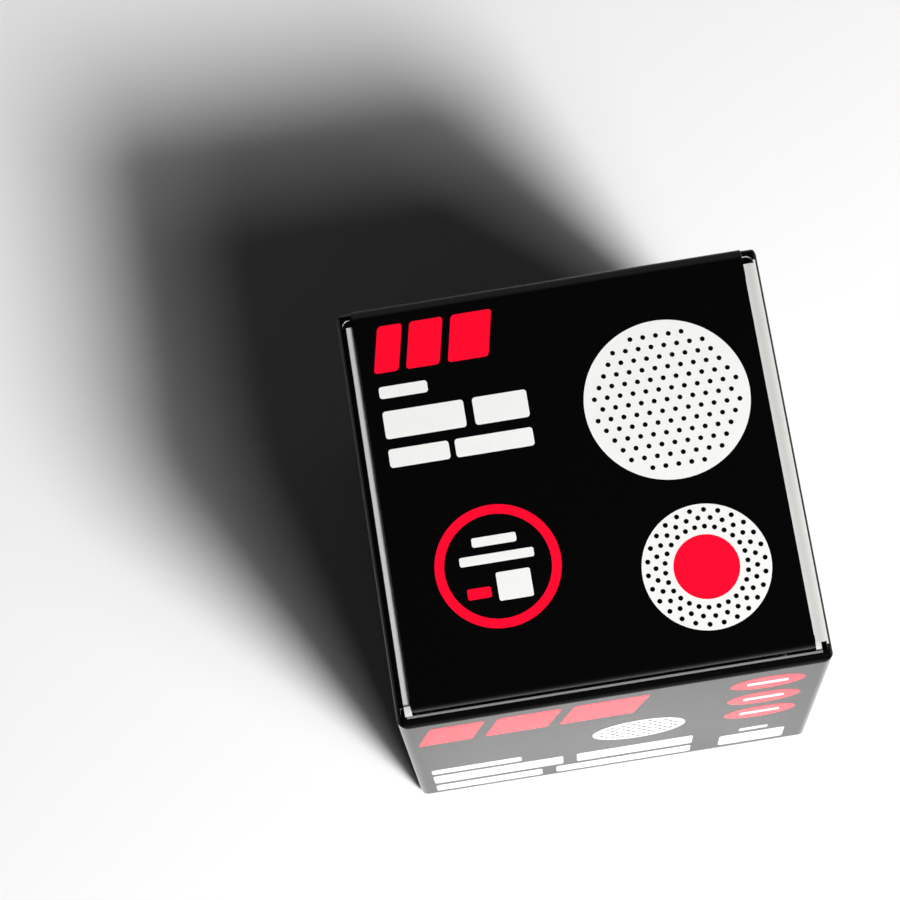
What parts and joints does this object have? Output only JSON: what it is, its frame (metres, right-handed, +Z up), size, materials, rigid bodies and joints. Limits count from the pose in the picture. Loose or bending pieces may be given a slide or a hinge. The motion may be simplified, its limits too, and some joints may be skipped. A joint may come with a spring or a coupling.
{
  "type": "box of rubber finger tips",
  "caption": "Glossy tuck-end carton that holds nubbed rubber finger tips for turning pages, with a hinged lid and a hinged bottom flap.",
  "frame": {"origin": "middle of the underside of the closed carton, on the surface that it stands on", "axes": "+Z up, -Y out of the front panel where the lid tucks in, +Y towards the hinge fold of the lid, +X to the right seen from the front"},
  "size_m": [0.058, 0.058, 0.058],
  "materials": {
    "board": "white-lined board printed black and red, with a gloss laminate",
    "latex": "amber latex, satin, dusted with powder"
  },
  "bodies": {
    "carton": {"carton": "board", "finger_tip_1": "latex", "finger_tip_2": "latex", "finger_tip_3": "latex", "finger_tip_4": "latex", "finger_tip_5": "latex", "finger_tip_6": "latex", "finger_tip_7": "latex", "finger_tip_8": "latex", "finger_tip_9": "latex", "finger_tip_10": "latex", "finger_tip_11": "latex", "finger_tip_12": "latex"},
    "lid": {"lid": "board"},
    "bottom_flap": {"bottom_flap": "board"}
  },
  "joints": [
    {"name": "lid_hinge", "type": "hinge", "parent": "carton", "child": "lid", "pos_m": [0, 0.0277, 0.0567], "axis": [-1, 0, 0], "range_deg": [0, 180]},
    {"name": "bottom_hinge", "type": "hinge", "parent": "carton", "child": "bottom_flap", "pos_m": [0, 0.0277, 0.0013], "axis": [1, 0, 0], "range_deg": [0, 180]}
  ]
}
